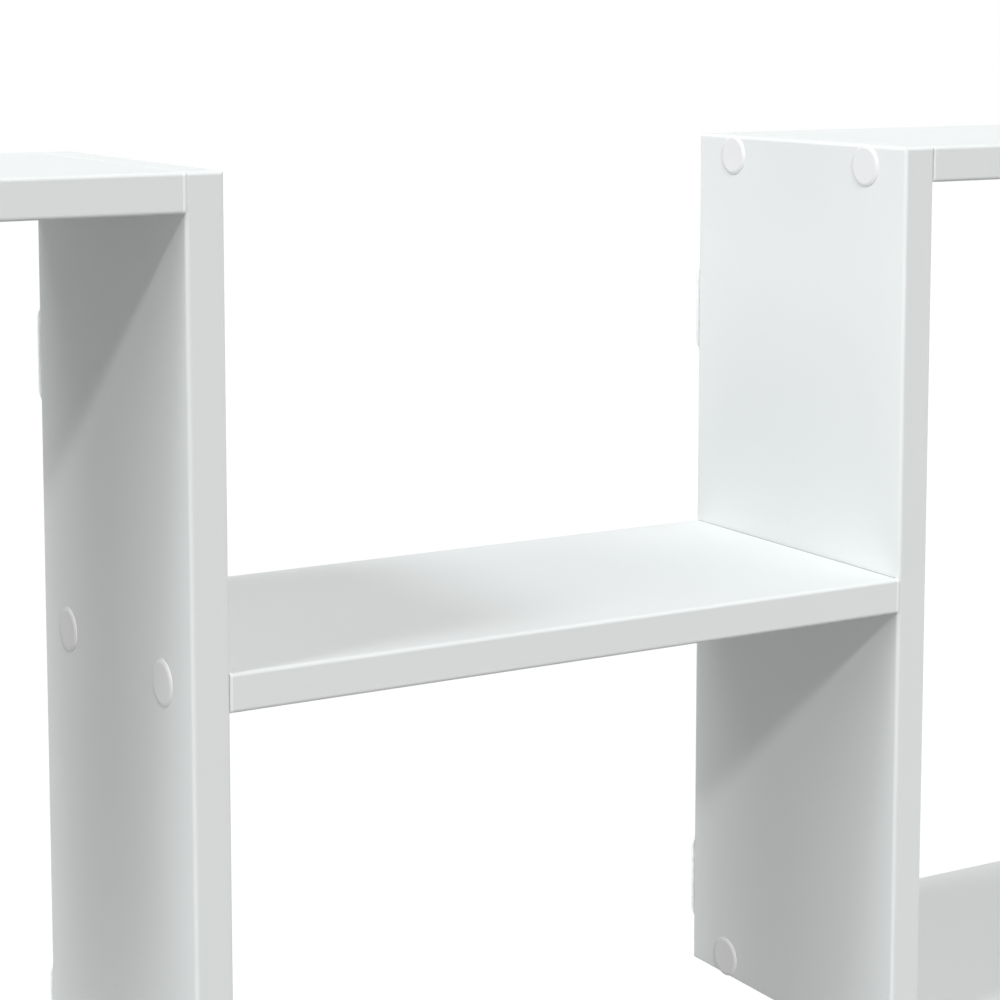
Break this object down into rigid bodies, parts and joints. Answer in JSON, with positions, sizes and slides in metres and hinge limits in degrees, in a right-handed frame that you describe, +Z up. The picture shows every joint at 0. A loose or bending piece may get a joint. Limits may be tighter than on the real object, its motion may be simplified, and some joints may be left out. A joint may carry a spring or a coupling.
{
  "type": "wall shelf",
  "caption": "Low white wall shelf of coated chipboard: closed boxes at both ends joined by a lower centre shelf between tall panels, hung on keyhole plates.",
  "frame": {"origin": "middle of the shelf's width and depth, at the level of the panels' feet", "axes": "+X along the wall to the right as seen from the front, +Y into the wall, -Y the front, +Z up"},
  "size_m": [0.9916, 0.1512, 0.398],
  "materials": {
    "melamine_board": "white melamine face, low satin sheen, on chipboard",
    "edge_band": "white plastic edge band, satin",
    "cover_cap": "white plastic, semi-gloss",
    "screw_steel": "bright zinc plated",
    "hanger_steel": "zinc plated sheet steel",
    "beech_dowel": "plain beech, fluted"
  },
  "bodies": {
    "root": {"left_outer_panel": "melamine_board", "left_inner_panel": "melamine_board", "right_inner_panel": "melamine_board", "right_outer_panel": "melamine_board", "left_top_board": "melamine_board", "left_lower_board": "melamine_board", "right_top_board": "melamine_board", "right_lower_board": "melamine_board", "centre_shelf": "melamine_board", "left_outer_edging": "edge_band", "left_inner_edging": "edge_band", "right_inner_edging": "edge_band", "right_outer_edging": "edge_band", "left_top_edging": "edge_band", "left_lower_edging": "edge_band", "right_top_edging": "edge_band", "right_lower_edging": "edge_band", "centre_shelf_edging": "edge_band", "left_top_screws": "screw_steel", "left_lower_screws": "screw_steel", "right_top_screws": "screw_steel", "right_lower_screws": "screw_steel", "centre_shelf_screws": "screw_steel", "left_upper_hanger_screws": "screw_steel", "left_lower_hanger_screws": "screw_steel", "right_upper_hanger_screws": "screw_steel", "right_lower_hanger_screws": "screw_steel", "left_top_dowels": "beech_dowel", "left_lower_dowels": "beech_dowel", "right_top_dowels": "beech_dowel", "right_lower_dowels": "beech_dowel", "centre_shelf_dowels": "beech_dowel", "left_top_caps": "cover_cap", "left_lower_caps": "cover_cap", "right_top_caps": "cover_cap", "right_lower_caps": "cover_cap", "centre_shelf_caps": "cover_cap", "left_upper_hanger": "hanger_steel", "left_lower_hanger": "hanger_steel", "right_upper_hanger": "hanger_steel", "right_lower_hanger": "hanger_steel"}
  },
  "joints": []
}
